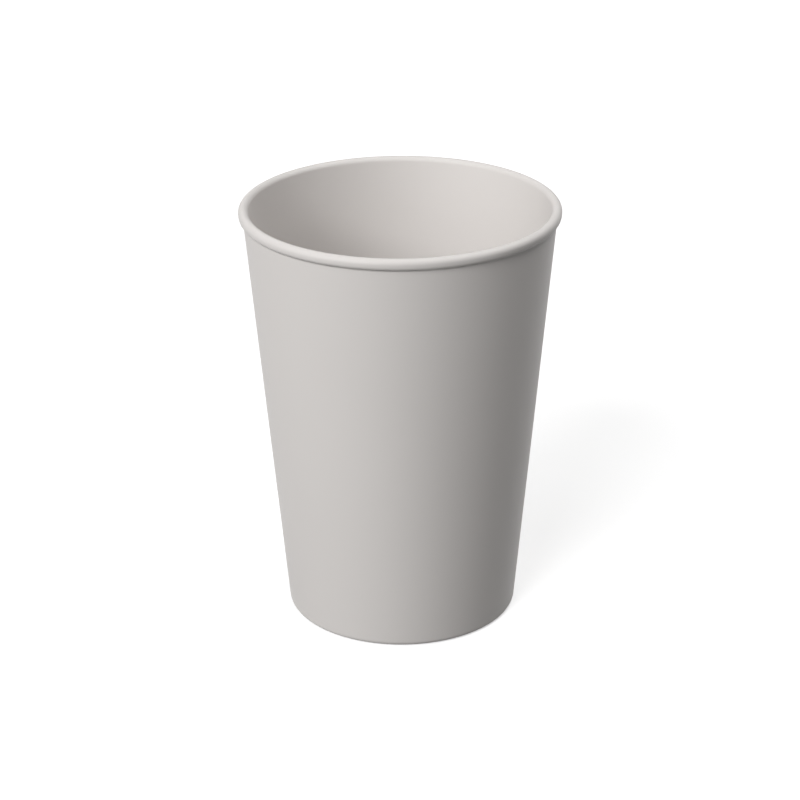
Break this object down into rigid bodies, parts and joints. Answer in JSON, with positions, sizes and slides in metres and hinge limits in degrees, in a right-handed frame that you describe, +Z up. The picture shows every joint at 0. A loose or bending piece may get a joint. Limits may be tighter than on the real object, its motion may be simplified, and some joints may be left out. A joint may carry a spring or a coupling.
{
  "type": "drinking cup",
  "caption": "Plain tapered drinking cup moulded in one piece, with a solid rounded lip bead, an open mouth, a flat floor and a recessed foot.",
  "frame": {"origin": "centre of the foot, on the table that the cup stands on", "axes": "+Z up along the cup's axis, towards its mouth; X and Y are alike, because the cup is round"},
  "size_m": [0.088, 0.088, 0.1188],
  "materials": {
    "cup_plastic": "smooth satin moulded plastic, pale warm grey"
  },
  "bodies": {
    "root": {"cup": "cup_plastic"}
  },
  "joints": []
}
